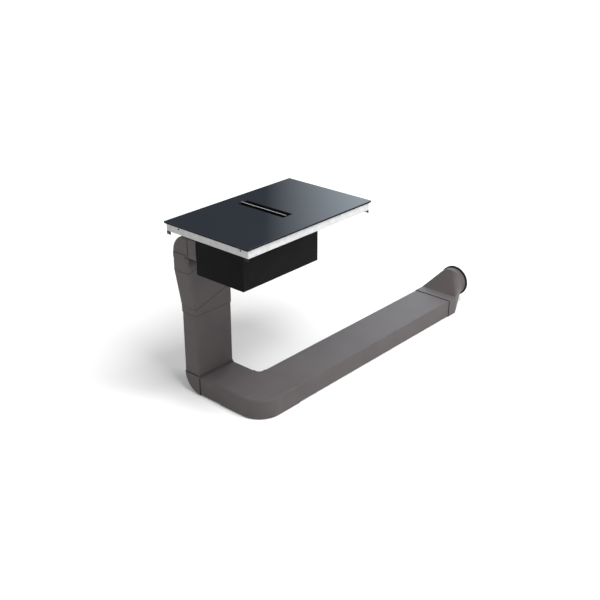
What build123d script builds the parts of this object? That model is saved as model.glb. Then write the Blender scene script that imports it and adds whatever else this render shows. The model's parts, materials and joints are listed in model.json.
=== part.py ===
from build123d import *
import os
from math import cos, radians, sin

os.makedirs("parts", exist_ok=True)

# Downdraft vent: an induction hob with a long intake slot, a centrifugal extractor hung
# under it, and a run of flat duct down to the floor, round a corner and out to a round end.
# Millimetres. X runs along the floor duct, Y to the back, Z up. The origin is on the floor,
# in the middle of the whole object's footprint. "Left", "front" and "drop" sizes are
# measured from the glass's left edge, front edge and top.

# ---- hob ----
glass_length = 832
glass_depth = 520
glass_thick = 6
glass_corner = 5
glass_bevel = 1
hob_height = 856            # glass top above the floor
seal_inset = 1
seal_width = 6
seal_thick = 2.5
tray_side_inset = 11
tray_front_inset = 8
tray_height = 39.5
tray_wall = 1.2
moulded_corner = 3
side_screw_front = 52       # side screws from the glass's front edge and its back edge
side_screw_back = 87
side_screw_drop = 20
screw_head = 4              # head radius
screw_head_height = 2
clamp_width = 19
clamp_length = 24
clamp_height = 15
clamp_wall = 2
clamp_lip = 5
clamp_screw = 2.5           # screw radius
clamp_hole = 2.25           # side holes, for wood screws into the cut-out's edge
clamp_hole_drop = 9.5       # below the tray

# ---- inside the hob ----
coil_eye = 22
coil_thick = 8
coil_end_gap = 7            # coil to its carrier's end
coil_pair_gap = 36          # front coil to rear coil
carrier_side_gap = 19.5     # carrier to the shaft and to the tray's side
carrier_end_gap = 27
carrier_wall = 1.5
board_side_gap = 40         # board to its carrier's edge
board_front = 60
board_gap = 58              # board to the cooling fan
board_thick = 1.6
board_standoff = 5
standoff_size = 6
sink_side_gap = 30
sink_depth = 48
sink_base = 4
sink_height = 15
fin_count = 12
fin_thick = 2
cooler_size = 84
cooler_height = 22
cooler_back = 90            # cooling fan's centre ahead of the glass's back edge
cooler_bore = 39
cooler_radius = 37.5
cooler_hub = 14
cooler_spider = 2
cooler_arm = 6
cooler_blades = 7
cooler_blade = 1.2
cooler_root = 2             # blade's way into the hub
cooler_gap = 0.3            # rotor over its spider
cooler_pin = 2
cooler_tilt = 38            # blade's slant from the axis
panel_width = 210
panel_depth = 44
panel_thick = 4
panel_front = 14
terminal_width = 96
terminal_depth = 70
terminal_height = 30
terminal_right = 142        # terminal box's centre from the glass's right edge
terminal_back = 130
gland_radius = 9
gland_nose = 7
gland_length = 22
gland_bevel = 2
gland_bore = 4

# ---- intake ----
slot_width = 66
slot_length = 290
slot_front = 151
slot_corner = 2
shaft_wall = 3
shaft_flange = 12
shaft_flange_thick = 2
shaft_seat = 67             # ledge that carries the cartridge, below the glass top
shaft_ledge = 9             # height of that ledge
shaft_ledge_width = 3
hole_gap = 0.3
cartridge_gap = 1           # cartridge to slot, each side
cartridge_wall = 2
cartridge_drop = 0.5        # cartridge's rim below the glass top
flap_thick = 4
flap_round = 1.8
flap_left = 28.2            # closed blade's edges from the slot's centre line
flap_right = 27.6
flap_end_gap = 2
flap_axis_left = 15         # pivot left of the slot's centre line
flap_axis_drop = 12         # pivot below the closed blade's top
flap_drop = 0.5             # closed blade's top below the glass top
flap_open = 75              # degrees
trim_width = 9
trim_thick = 1.2
ear_radius = 7
ear_thick = 4
pin_radius = 3
running_gap = 0.05
basket_wall = 1
basket_depth = 81
basket_rim = 1.5            # rim that the cartridge's frame stands on
basket_side_gap = 3.3       # basket to the shaft's ledge
basket_slots = 14
basket_slot_width = 11
basket_slot_height = 56
filter_height = 66
filter_bevel = 2

# ---- extractor ----
box_left = 10
box_front = 39.5
box_past_slot = 76          # box's right side from the slot's centre line
box_depth = 287.5
box_height = 160.5
box_wall = 2.5
box_corner = 3
wing_gap = 16.5             # duct to the box's right part, which reaches back
wing_depth = 135
lid_thick = 2
pan_side_gap = 28           # service pan to the sides of that right part
pan_depth = 260
pan_front = 235             # service pan's centre
pan_height = 26
pan_gap = 0.5
pan_wall = 1.5
pan_corner = 8
grip_width = 60
grip_depth = 14
grip_height = 9
fan_left = 115              # fan axis
fan_front = 155
impeller_radius = 84
impeller_plate = 2.4
impeller_gap = 4.5          # top plate below the volute's cover
impeller_depth = 75
shroud_inner = 64
blade_count = 11
blade_thick = 2.4
blade_root = 61
blade_sweep = 34            # degrees from root to tip
blade_curve = 48
hub_top = 45
hub_bottom = 39
hub_wall = 3
hub_depth = 46
motor_radius = 33
motor_height = 42
motor_flange = 41
motor_flange_thick = 3
motor_bevel = 3
motor_screw_circle = 36.5
motor_screw = 2
shaft_radius = 4
shaft_past = 2              # shaft's end below the hub
scroll_radius = 102         # front left quarter; each quarter turn gains scroll_growth
scroll_growth = 10
tongue_turn = 60            # degrees of the smallest arc, up to the tongue
volute_wall = 2.5
inlet_flange = 78
inlet_throat = 61
inlet_wall = 2
inlet_gap = 1               # throat to the blades
mount_size = 13
mount_circle = 88

# ---- flat duct ----
bore_width = 220
bore_height = 88
bore_corner = 5
cut_share = 0.58            # cut corner that clears a round one, as a share of its radius
pipe_wall = 2.5
socket_gap = 0.3
fitting_wall = 2.7
insert_gap = 0.3            # spigot inside a pipe
insert_wall = 2.2
insert_reach = 24
seat_depth = 26             # pipe's way into a socket
ledge_height = 3
seal_gap = 1.5              # gasket's thickness at each joint
seal_back = 0.5             # gasket's edge inside the fittings' outside
seal_cut = 7
web_cut = 6
bend_inner = 1.5
bend_lip = 2.5
elbow_inner = 0.8
elbow_outer = 86            # outer radius of the elbow behind the box
outlet_drop = 95.5          # outlet's centre
outlet_rim = 2              # volute's mouth in from the duct's bore
duct_left = 8.5             # upper duct's left face
low_left = 42               # lower duct's left face
duct_back = 431.5           # centre of the falling duct
mitre_rise = 65             # climb of each mitre over the duct's width
upper_mitre = 222           # left ends of the offset duct's mitres
lower_mitre = 411.5
offset_drop = 441.5         # offset duct's lower end
offset_rim = 12
offset_proud = 3
sleeve_rise = 13            # rim's sides and back, up over the elbow's end
run_reach = 1760            # glass's left edge to the outlet's end
run_front = 20              # floor duct ahead of the glass
corner_outer = 118
corner_inner = 17
corner_leg = 14
adapter_length = 220
adapter_neck = 34
adapter_taper = 107
round_bore = 75.5           # takes 150 mm pipe
round_wall = 3
round_rise = 68.5
round_flat = 0.05           # tiny flats that pair the round end's edges with the flat end's
rim_width = 12
rim_height = 7
rim_bevel = 2

# ---- worked out ----
pipe_width = bore_width + 2 * pipe_wall
pipe_height = bore_height + 2 * pipe_wall
pipe_corner = bore_corner + pipe_wall
socket_width = pipe_width + 2 * socket_gap
socket_height = pipe_height + 2 * socket_gap
socket_corner = pipe_corner + socket_gap
fitting_width = socket_width + 2 * fitting_wall
fitting_height = socket_height + 2 * fitting_wall
fitting_corner = socket_corner + fitting_wall
x_left = -run_reach / 2
y_front = -(glass_depth + run_front) / 2
y_glass = y_front + run_front
glass_x = x_left + glass_length / 2
glass_y = y_glass + glass_depth / 2
glass_under = hob_height - glass_thick
tray_floor = glass_under - tray_height
tray_length = glass_length - 2 * tray_side_inset
tray_depth = glass_depth - 2 * tray_front_inset
glass_right = x_left + glass_length
glass_back = y_glass + glass_depth
slot_y = y_glass + slot_front + slot_length / 2
slot_centre = (glass_x, slot_y)
shaft_length = slot_length + 2 * shaft_wall
shaft_width = slot_width + 2 * shaft_wall
box_x = x_left + box_left
box_y = y_glass + box_front
box_right = glass_x + box_past_slot
box_floor = tray_floor - box_height
lid_under = tray_floor - lid_thick
fan_x = x_left + fan_left
fan_y = y_glass + fan_front
up_x = x_left + duct_left + fitting_width / 2
low_x = x_left + low_left + fitting_width / 2
drop_y = y_glass + duct_back
outlet_z = hob_height - outlet_drop
window_width = bore_width - 2 * outlet_rim
window_height = bore_height - 2 * outlet_rim
run_y = y_front + fitting_width / 2
run_z = fitting_height / 2
halves = {"left": -1, "right": 1}
half_x = {half: glass_x + way * (shaft_width + tray_length) / 4 for half, way in halves.items()}


def save(piece, name):
    piece.part.label = name
    export_step(piece.part, f"parts/{name}.step")


def around(x, y, reach_x, reach_y):
    """Four places round a centre."""
    return [(x + i * reach_x, y + j * reach_y) for i in (-1, 1) for j in (-1, 1)]


def tube(plane, length, outer, inner):
    """Straight rounded-rectangular tube; outer and inner are (width, height, corner)."""
    with BuildPart() as made:
        with BuildSketch(plane):
            RectangleRounded(*outer)
            RectangleRounded(*inner, mode=Mode.SUBTRACT)
        extrude(amount=length)
    return made


# ======== hob ========
with BuildPart() as glass_top:
    with BuildSketch(Plane.XY.offset(glass_under)):
        with Locations((glass_x, glass_y)):
            RectangleRounded(glass_length, glass_depth, glass_corner)
        with Locations(slot_centre):
            RectangleRounded(slot_width, slot_length, slot_corner, mode=Mode.SUBTRACT)
    extrude(amount=glass_thick)
    chamfer(glass_top.faces().sort_by(Axis.Z)[-1].outer_wire().edges(), glass_bevel)
save(glass_top, "glass_top")

seal_plane = Plane((glass_x, glass_y, glass_under - seal_thick))
seal_out = (glass_length - 2 * seal_inset, glass_depth - 2 * seal_inset, glass_corner)
seal_in = (seal_out[0] - 2 * seal_width, seal_out[1] - 2 * seal_width, moulded_corner)
glass_seal = tube(seal_plane, seal_thick, seal_out, seal_in)
save(glass_seal, "glass_seal")

with BuildPart() as support_tray:
    with BuildSketch(Plane.XY.offset(tray_floor)):
        with Locations((glass_x, glass_y)):
            Rectangle(tray_length, tray_depth)
    extrude(amount=tray_height)
    with BuildSketch(Plane.XY.offset(tray_floor + tray_wall)):
        with Locations((glass_x, glass_y)):
            Rectangle(tray_length - 2 * tray_wall, tray_depth - 2 * tray_wall)
    extrude(amount=tray_height, mode=Mode.SUBTRACT)
    with BuildSketch(Plane.XY.offset(tray_floor)):
        with Locations(slot_centre):
            Rectangle(shaft_width + 2 * hole_gap, shaft_length + 2 * hole_gap)
    extrude(amount=tray_wall, mode=Mode.SUBTRACT)
save(support_tray, "support_tray")

with BuildPart() as tray_screws:
    for way in (-1, 1):
        side = Plane(
            (glass_x + way * tray_length / 2, y_glass, hob_height - side_screw_drop),
            x_dir=(0, 1, 0),
            z_dir=(way, 0, 0),
        )
        with BuildSketch(side):
            with Locations((side_screw_front, 0), (glass_depth - side_screw_back, 0)):
                Circle(screw_head)
        extrude(amount=screw_head_height)
save(tray_screws, "tray_screws")

clamp_spots = around(
    glass_x, glass_y, (tray_length - clamp_width) / 2, (tray_depth - clamp_length) / 2
)
with BuildPart() as worktop_clamps:
    for x, y in clamp_spots:
        way = 1 if x > glass_x else -1
        with BuildSketch(Plane((x, y, tray_floor), x_dir=(way, 0, 0), z_dir=(0, 1, 0))):
            with BuildLine():
                outer = clamp_width / 2
                down = way
                Polyline(
                    (outer, 0),
                    (outer, down * clamp_height),
                    (outer - clamp_wall, down * clamp_height),
                    (outer - clamp_wall, down * clamp_wall),
                    (clamp_wall - outer, down * clamp_wall),
                    (clamp_wall - outer, down * clamp_lip),
                    (-outer, down * clamp_lip),
                    (-outer, 0),
                    close=True,
                )
            make_face()
        extrude(amount=clamp_length / 2, both=True)
    with Locations(*[(x, y, tray_floor - clamp_hole_drop) for x, y in clamp_spots]):
        Cylinder(clamp_hole, clamp_width, rotation=(0, 90, 0), mode=Mode.SUBTRACT)
save(worktop_clamps, "worktop_clamps")

with BuildPart() as clamp_screws:
    with BuildSketch(Plane.XY.offset(tray_floor - clamp_wall)):
        with Locations(*clamp_spots):
            RegularPolygon(2 * clamp_screw, 6)
    extrude(amount=-2 * clamp_screw)
save(clamp_screws, "clamp_screws")

# ======== inside the hob ========
coil_under = glass_under - coil_thick
tray_deck = tray_floor + tray_wall
board_z = tray_deck + board_standoff
carrier_width = (tray_length - shaft_width) / 2 - 2 * carrier_side_gap
carrier_depth = tray_depth - 2 * carrier_end_gap
coil_radius = (carrier_depth - 2 * coil_end_gap - coil_pair_gap) / 4
coil_spread = 2 * coil_radius + coil_pair_gap
cooler_y = glass_back - cooler_back
board_width = carrier_width - 2 * board_side_gap
board_depth = cooler_y - cooler_size / 2 - board_gap - y_glass - board_front
board_y = y_glass + board_front + board_depth / 2
sink_width = board_width - 2 * sink_side_gap


def coil(x, y):
    with BuildPart() as made:
        with BuildSketch(Plane.XY.offset(coil_under)):
            with Locations((x, y)):
                Circle(coil_radius)
                Circle(coil_eye, mode=Mode.SUBTRACT)
        extrude(amount=coil_thick)
    return made


def coil_carrier(x):
    """Plate under two coils, its side flanges standing on the tray."""
    with BuildPart() as made:
        with Locations((x, glass_y, tray_deck)):
            Box(
                carrier_width,
                carrier_depth,
                coil_under - tray_deck,
                align=(Align.CENTER, Align.CENTER, Align.MIN),
            )
            Box(
                carrier_width - 2 * carrier_wall,
                carrier_depth,
                coil_under - tray_deck - carrier_wall,
                align=(Align.CENTER, Align.CENTER, Align.MIN),
                mode=Mode.SUBTRACT,
            )
    return made


def power_board(x, y):
    with BuildPart() as made:
        with Locations((x, y, board_z)):
            Box(board_width, board_depth, board_thick, align=(Align.CENTER, Align.CENTER, Align.MIN))
        with BuildSketch(Plane.XY.offset(tray_deck)):
            reach_x = board_width / 2 - standoff_size
            reach_y = board_depth / 2 - standoff_size
            with Locations(*around(x, y, reach_x, reach_y)):
                Rectangle(standoff_size, standoff_size)
        extrude(amount=board_standoff)
    return made


def heat_sink(x, y):
    foot = board_z + board_thick
    pitch = (sink_width - fin_thick) / (fin_count - 1)
    with BuildPart() as made:
        with Locations((x, y, foot)):
            Box(sink_width, sink_depth, sink_base, align=(Align.CENTER, Align.CENTER, Align.MIN))
        with Locations((x, y, foot)):
            with GridLocations(pitch, 0, fin_count, 1):
                Box(fin_thick, sink_depth, sink_height, align=(Align.CENTER, Align.CENTER, Align.MIN))
    return made


def cooler_frame(x, y):
    """Square fan frame with a three-armed spider and the rotor's pin."""
    with BuildPart() as made:
        with BuildSketch(Plane((x, y, tray_deck))):
            RectangleRounded(cooler_size, cooler_size, moulded_corner)
            Circle(cooler_bore, mode=Mode.SUBTRACT)
        extrude(amount=cooler_height)
        with BuildSketch(Plane((x, y, tray_deck))):
            Circle(cooler_hub)
            with PolarLocations(cooler_bore / 2, 3):
                Rectangle(cooler_bore + cooler_spider, cooler_arm)
        extrude(amount=cooler_spider)
        with BuildSketch(Plane((x, y, tray_deck))):
            Circle(cooler_pin)
        extrude(amount=cooler_height - 2 * cooler_spider)
    return made


def cooler_rotor(x, y):
    foot = tray_deck + cooler_spider + cooler_gap
    height = cooler_height - 2 * cooler_spider
    chord = height - 2 * cooler_spider
    root = cooler_hub - cooler_root
    with BuildPart() as made:
        with Locations((x, y, foot + height / 2)):
            with PolarLocations((root + cooler_radius) / 2, cooler_blades):
                Box(cooler_radius - root, chord, cooler_blade, rotation=(90 - cooler_tilt, 0, 0))
        with BuildSketch(Plane((x, y, foot))):
            Circle(cooler_hub)
        extrude(amount=height)
        with BuildSketch(Plane((x, y, foot))):
            Circle(cooler_pin + running_gap)
        extrude(amount=height - cooler_spider, mode=Mode.SUBTRACT)
    return made


for half, x in half_x.items():
    for row, way in {"front": -1, "rear": 1}.items():
        save(coil(x, glass_y + way * coil_spread / 2), f"coil_{row}_{half}")
    save(coil_carrier(x), f"coil_carrier_{half}")
    save(power_board(x, board_y), f"power_board_{half}")
    save(heat_sink(x, board_y), f"heat_sink_{half}")
    save(cooler_frame(x, cooler_y), f"cooling_fan_frame_{half}")
    save(cooler_rotor(x, cooler_y), f"cooling_fan_rotor_{half}")

with BuildPart() as touch_panel:
    with Locations((glass_x, y_glass + panel_front + panel_depth / 2, glass_under)):
        Box(panel_width, panel_depth, panel_thick, align=(Align.CENTER, Align.CENTER, Align.MAX))
save(touch_panel, "touch_panel")

terminal_x = glass_right - terminal_right
terminal_y = glass_back - terminal_back
with BuildPart() as terminal_box:
    with Locations((terminal_x, terminal_y, tray_floor)):
        Box(
            terminal_width,
            terminal_depth,
            terminal_height,
            align=(Align.CENTER, Align.CENTER, Align.MAX),
        )
    fillet(terminal_box.edges().filter_by(Axis.Z), moulded_corner)
    chamfer(terminal_box.faces().sort_by(Axis.Z)[0].edges(), glass_bevel)
save(terminal_box, "terminal_box")

gland_plane = Plane(
    (terminal_x, terminal_y + terminal_depth / 2, tray_floor - terminal_height / 2),
    x_dir=(1, 0, 0),
    z_dir=(0, 1, 0),
)
with BuildPart() as cable_gland:
    with BuildSketch(gland_plane):
        RegularPolygon(gland_radius, 6)
    extrude(amount=gland_length / 3)
    with BuildSketch(gland_plane):
        Circle(gland_nose)
    extrude(amount=gland_length)
    chamfer(cable_gland.faces().sort_by(Axis.Y)[-1].edges(), gland_bevel)
    with BuildSketch(gland_plane):
        Circle(gland_bore)
    extrude(amount=gland_length, mode=Mode.SUBTRACT)
save(cable_gland, "cable_gland")

# ======== intake ========
seat_z = hob_height - shaft_seat
with BuildPart() as intake_shaft:
    with BuildSketch(Plane.XY.offset(seat_z - shaft_ledge)):
        with Locations(slot_centre):
            Rectangle(shaft_width, shaft_length)
    extrude(amount=glass_under - seat_z + shaft_ledge)
    with BuildSketch(Plane.XY.offset(tray_deck)):
        with Locations(slot_centre):
            Rectangle(shaft_width + 2 * shaft_flange, shaft_length + 2 * shaft_flange)
    extrude(amount=shaft_flange_thick)
    with BuildSketch(Plane.XY.offset(seat_z)):
        with Locations(slot_centre):
            RectangleRounded(slot_width, slot_length, slot_corner)
    extrude(amount=shaft_seat, mode=Mode.SUBTRACT)
    with BuildSketch(Plane.XY.offset(seat_z - shaft_ledge)):
        with Locations(slot_centre):
            Rectangle(slot_width - 2 * shaft_ledge_width, slot_length - 2 * shaft_ledge_width)
    extrude(amount=shaft_ledge, mode=Mode.SUBTRACT)
save(intake_shaft, "intake_shaft")

cartridge_width = slot_width - 2 * cartridge_gap
cartridge_length = slot_length - 2 * cartridge_gap
throat_width = cartridge_width - 2 * cartridge_wall
throat_length = cartridge_length - 2 * cartridge_wall
flap_axis = (glass_x - flap_axis_left, slot_y, hob_height - flap_drop - flap_axis_drop)
flap_length = throat_length - 2 * flap_end_gap
ear_reach = flap_length / 2
with BuildPart() as insert_frame:
    with BuildSketch(Plane.XY.offset(seat_z + basket_rim)):
        with Locations(slot_centre):
            Rectangle(cartridge_width, cartridge_length)
            Rectangle(throat_width, throat_length, mode=Mode.SUBTRACT)
    extrude(amount=shaft_seat - basket_rim - cartridge_drop)
    with BuildSketch(Plane(flap_axis, x_dir=(1, 0, 0), z_dir=(0, 1, 0))):
        Circle(pin_radius + running_gap)
    extrude(amount=slot_length / 2, both=True, mode=Mode.SUBTRACT)
save(insert_frame, "insert_frame")

# The flap stands open as drawn. Its own plane has X across the blade and Y out of its
# closed top, with the pivot at the origin.
flap_plane = Plane(
    flap_axis,
    x_dir=(cos(radians(flap_open)), 0, -sin(radians(flap_open))),
    z_dir=(0, -1, 0),
)
edge_left = flap_axis_left - flap_left
edge_right = flap_axis_left + flap_right
with BuildPart() as intake_flap:
    with BuildSketch(flap_plane):
        with Locations(((edge_left + edge_right) / 2, flap_axis_drop - flap_thick / 2)):
            RectangleRounded(edge_right - edge_left, flap_thick, flap_round)
        with Locations((edge_left, flap_axis_drop)):
            Rectangle(2 * trim_width, 2 * trim_thick, mode=Mode.SUBTRACT)
    extrude(amount=flap_length / 2, both=True)
    for way in (-1, 1):
        with BuildSketch(flap_plane.offset(way * ear_reach)):
            Circle(ear_radius)
            ear_rise = flap_axis_drop - flap_thick / 2
            Rectangle(2 * ear_radius, ear_rise, align=(Align.CENTER, Align.MIN))
            Circle(pin_radius, mode=Mode.SUBTRACT)
        extrude(amount=-way * ear_thick)
save(intake_flap, "intake_flap")

with BuildPart() as flap_trim:
    with BuildSketch(flap_plane):
        with Locations((edge_left + trim_width / 2, flap_axis_drop - trim_thick / 2)):
            Rectangle(trim_width, trim_thick)
        with Locations((edge_left - trim_thick / 2, flap_axis_drop - flap_thick / 2)):
            Rectangle(trim_thick, flap_thick)
    extrude(amount=flap_length / 2, both=True)
save(flap_trim, "flap_trim")

with BuildPart() as flap_pins:
    for way in (-1, 1):
        with BuildSketch(flap_plane.offset(way * (ear_reach - ear_thick))):
            Circle(pin_radius)
        extrude(amount=way * (ear_thick + flap_end_gap + cartridge_wall - running_gap))
save(flap_pins, "flap_pins")

basket_width = slot_width - 2 * shaft_ledge_width - 2 * basket_side_gap
basket_length = slot_length - 2 * shaft_ledge_width - 2 * basket_side_gap
with BuildPart() as filter_basket:
    with BuildSketch(Plane.XY.offset(seat_z)):
        with Locations(slot_centre):
            Rectangle(cartridge_width, cartridge_length)
    extrude(amount=basket_rim)
    with BuildSketch(Plane.XY.offset(seat_z)):
        with Locations(slot_centre):
            Rectangle(basket_width, basket_length)
    extrude(amount=-basket_depth)
    with BuildSketch(Plane.XY.offset(seat_z - basket_depth + basket_wall)):
        with Locations(slot_centre):
            Rectangle(basket_width - 2 * basket_wall, basket_length - 2 * basket_wall)
    extrude(amount=basket_depth + basket_rim, mode=Mode.SUBTRACT)
    slot_pitch = (basket_length - 2 * basket_slot_width) / basket_slots
    with Locations((glass_x, slot_y, seat_z - basket_depth / 2)):
        with GridLocations(0, slot_pitch, 1, basket_slots):
            Box(slot_width, basket_slot_width, basket_slot_height, mode=Mode.SUBTRACT)
save(filter_basket, "filter_basket")

with BuildPart() as grease_filter:
    with Locations((glass_x, slot_y, seat_z - basket_depth + basket_wall)):
        Box(
            basket_width - 2 * basket_wall - 2 * hole_gap,
            basket_length - 2 * basket_wall - 2 * hole_gap,
            filter_height,
            align=(Align.CENTER, Align.CENTER, Align.MIN),
        )
    chamfer(grease_filter.faces().sort_by(Axis.Z)[-1].edges(), filter_bevel)
save(grease_filter, "grease_filter")

# ======== extractor ========
wing_x = x_left + duct_left + fitting_width + wing_gap
wing_back = box_y + box_depth + wing_depth
with BuildSketch() as box_plan:
    with BuildLine():
        Polyline(
            (box_x, box_y),
            (box_right, box_y),
            (box_right, wing_back),
            (wing_x, wing_back),
            (wing_x, box_y + box_depth),
            (box_x, box_y + box_depth),
            close=True,
        )
    make_face()
with BuildSketch() as box_outline:
    add(box_plan.sketch)
    fillet(box_outline.vertices(), box_corner)
pan_spot = ((wing_x + box_right) / 2, y_glass + pan_front)
pan_width = box_right - wing_x - 2 * pan_side_gap
with BuildPart() as extractor_housing:
    with BuildSketch(Plane.XY.offset(box_floor)):
        add(box_outline.sketch)
    extrude(amount=box_height - lid_thick)
    with BuildSketch(Plane.XY.offset(box_floor + box_wall)):
        add(box_plan.sketch)
        offset(amount=-box_wall, kind=Kind.INTERSECTION, mode=Mode.REPLACE)
    extrude(amount=box_height, mode=Mode.SUBTRACT)
    with BuildSketch(Plane((up_x, box_y + box_depth, outlet_z), x_dir=(1, 0, 0), z_dir=(0, 1, 0))):
        Rectangle(window_width, window_height)
    extrude(amount=-2 * box_wall, mode=Mode.SUBTRACT)
    with BuildSketch(Plane.XY.offset(box_floor)):
        with Locations(pan_spot):
            RectangleRounded(pan_width, pan_depth, pan_corner)
    extrude(amount=box_wall, mode=Mode.SUBTRACT)
save(extractor_housing, "extractor_housing")

with BuildPart() as housing_lid:
    with BuildSketch(Plane.XY.offset(lid_under)):
        add(box_outline.sketch)
        with Locations(slot_centre):
            Rectangle(
                shaft_width + 2 * hole_gap, shaft_length + 2 * hole_gap, mode=Mode.SUBTRACT
            )
    extrude(amount=lid_thick)
save(housing_lid, "housing_lid")

with BuildPart() as service_pan:
    lip_width = pan_width - 2 * pan_gap
    lip_depth = pan_depth - 2 * pan_gap
    with BuildSketch(Plane((*pan_spot, box_floor))):
        RectangleRounded(lip_width, lip_depth, pan_corner - pan_gap)
    extrude(amount=pan_height)
    with BuildSketch(Plane((*pan_spot, box_floor + box_wall))):
        RectangleRounded(
            lip_width - 2 * pan_wall, lip_depth - 2 * pan_wall, pan_corner - pan_gap - pan_wall
        )
    extrude(amount=pan_height, mode=Mode.SUBTRACT)
    grip_y = pan_spot[1] - lip_depth / 2 + grip_depth
    with Locations((pan_spot[0], grip_y, box_floor + grip_height / 2 + box_wall / 2)):
        Box(grip_width + 2 * pan_wall, grip_depth + 2 * pan_wall, grip_height + box_wall)
    with Locations((pan_spot[0], grip_y, box_floor + grip_height / 2)):
        Box(grip_width, grip_depth, grip_height, mode=Mode.SUBTRACT)
save(service_pan, "service_pan")

# Scroll: three arcs whose centres step round a square of side scroll_growth, which leaves
# the fan axis in the middle of the square, and a neck that runs straight to the rear wall.
step = scroll_growth / 2
wide_radius = scroll_radius + scroll_growth
tight_radius = scroll_radius - scroll_growth
air_floor = outlet_z - window_height / 2
mouth_y = box_y + box_depth - box_wall
with BuildSketch() as scroll:
    with BuildLine():
        right_end = (fan_x + step + wide_radius, fan_y + step)
        front_end = (fan_x + step, fan_y + step - wide_radius)
        left_end = (fan_x + step - scroll_radius, fan_y - step)
        tongue_angle = radians(180 - tongue_turn)
        tongue = (
            fan_x - step + tight_radius * cos(tongue_angle),
            fan_y - step + tight_radius * sin(tongue_angle),
        )
        Line((up_x + window_width / 2, mouth_y), right_end)
        TangentArc(right_end, front_end, tangent=(0, -1))
        TangentArc(front_end, left_end, tangent=(-1, 0))
        TangentArc(left_end, tongue, tangent=(0, 1))
        Line(tongue, (up_x - window_width / 2, mouth_y))
        Line((up_x - window_width / 2, mouth_y), (up_x + window_width / 2, mouth_y))
    make_face()
with BuildSketch() as scroll_outline:
    add(scroll.sketch)
    offset(amount=volute_wall)
    with Locations((fan_x, mouth_y)):
        Rectangle(
            4 * scroll_radius, 4 * volute_wall, align=(Align.CENTER, Align.MIN), mode=Mode.SUBTRACT
        )

with BuildPart() as fan_volute:
    with BuildSketch(Plane.XY.offset(air_floor - volute_wall)):
        add(scroll_outline.sketch)
    extrude(amount=volute_wall + window_height)
    with BuildSketch(Plane.XY.offset(air_floor)):
        add(scroll.sketch)
    extrude(amount=window_height, mode=Mode.SUBTRACT)
    with BuildSketch(Plane((fan_x, fan_y, air_floor - volute_wall))):
        Circle(inlet_throat + inlet_wall + running_gap)
    extrude(amount=volute_wall, mode=Mode.SUBTRACT)
save(fan_volute, "fan_volute")

with BuildPart() as volute_cover:
    with BuildSketch(Plane.XY.offset(air_floor + window_height)):
        add(scroll_outline.sketch)
    extrude(amount=volute_wall)
save(volute_cover, "volute_cover")

# Bell mouth: a flat flange under the volute that curves up into the throat.
cover_under = air_floor + window_height
plate_top = cover_under - impeller_gap
blade_foot = plate_top - impeller_depth
flange_z = air_floor - volute_wall - inlet_wall
inlet_reach = blade_foot - inlet_gap - flange_z
with BuildPart() as inlet_ring:
    with BuildSketch(Plane((fan_x, fan_y, flange_z), x_dir=(1, 0, 0), z_dir=(0, -1, 0))):
        with BuildLine():
            low = (inlet_throat + inlet_wall, 0)
            high = (inlet_throat, inlet_wall)
            Line((inlet_flange, 0), (inlet_flange, inlet_wall))
            Line((inlet_flange, inlet_wall), (inlet_throat + inlet_wall, inlet_wall))
            Line((inlet_throat + inlet_wall, inlet_wall), (inlet_throat + inlet_wall, inlet_reach))
            Line((inlet_throat + inlet_wall, inlet_reach), (inlet_throat, inlet_reach))
            Line((inlet_throat, inlet_reach), high)
            Line(high, low)
            Line(low, (inlet_flange, 0))
        make_face()
    revolve(axis=Axis((fan_x, fan_y, 0), (0, 0, 1)))
save(inlet_ring, "inlet_ring")

fan_axis = Axis((fan_x, fan_y, 0), (0, 0, 1))
with BuildSketch() as blade_plan:
    with BuildLine() as blade_line:
        tip = (
            impeller_radius * cos(radians(blade_sweep)),
            impeller_radius * sin(radians(blade_sweep)),
        )
        RadiusArc((blade_root, 0), tip, blade_curve)
    trace(blade_line.line, blade_thick)
with BuildPart() as impeller:
    with BuildSketch(Plane((fan_x, fan_y, blade_foot))):
        with PolarLocations(0, blade_count):
            add(blade_plan.sketch)
        Circle(impeller_radius, mode=Mode.INTERSECT)
    extrude(amount=impeller_depth)
    with BuildSketch(Plane((fan_x, fan_y, blade_foot))):
        Circle(impeller_radius)
        Circle(shroud_inner, mode=Mode.SUBTRACT)
    extrude(amount=impeller_plate)
    with BuildSketch(Plane((fan_x, fan_y, plate_top), x_dir=(1, 0, 0), z_dir=(0, -1, 0))):
        with BuildLine():
            Polyline(
                (impeller_radius, 0),
                (hub_top + hub_wall, 0),
                (hub_bottom + hub_wall, -hub_depth),
                (shaft_radius + running_gap, -hub_depth),
                (shaft_radius + running_gap, -hub_depth + hub_wall),
                (hub_bottom, -hub_depth + hub_wall),
                (hub_top, 0),
                (hub_top, impeller_plate / 2),
                (impeller_radius, impeller_plate / 2),
                close=True,
            )
        make_face()
    revolve(axis=fan_axis)
    with BuildSketch(Plane((fan_x, fan_y, plate_top - impeller_plate))):
        Circle(impeller_radius)
        Circle(hub_top + hub_wall / 2, mode=Mode.SUBTRACT)
    extrude(amount=impeller_plate)
save(impeller, "impeller")

with BuildPart() as fan_motor:
    with BuildSketch(Plane((fan_x, fan_y, cover_under))):
        Circle(motor_flange)
    extrude(amount=-motor_flange_thick)
    with BuildSketch(Plane((fan_x, fan_y, cover_under))):
        Circle(motor_radius)
    extrude(amount=-motor_height)
    chamfer(fan_motor.faces().sort_by(Axis.Z)[0].edges(), motor_bevel)
    with BuildSketch(Plane((fan_x, fan_y, cover_under - motor_height))):
        Circle(shaft_radius)
    extrude(amount=-(impeller_gap + hub_depth + shaft_past - motor_height))
save(fan_motor, "fan_motor")

with BuildPart() as motor_screws:
    with BuildSketch(Plane((fan_x, fan_y, cover_under + volute_wall))):
        with PolarLocations(motor_screw_circle, 4):
            RegularPolygon(2 * motor_screw, 6)
    extrude(amount=motor_screw)
save(motor_screws, "motor_screws")

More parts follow.
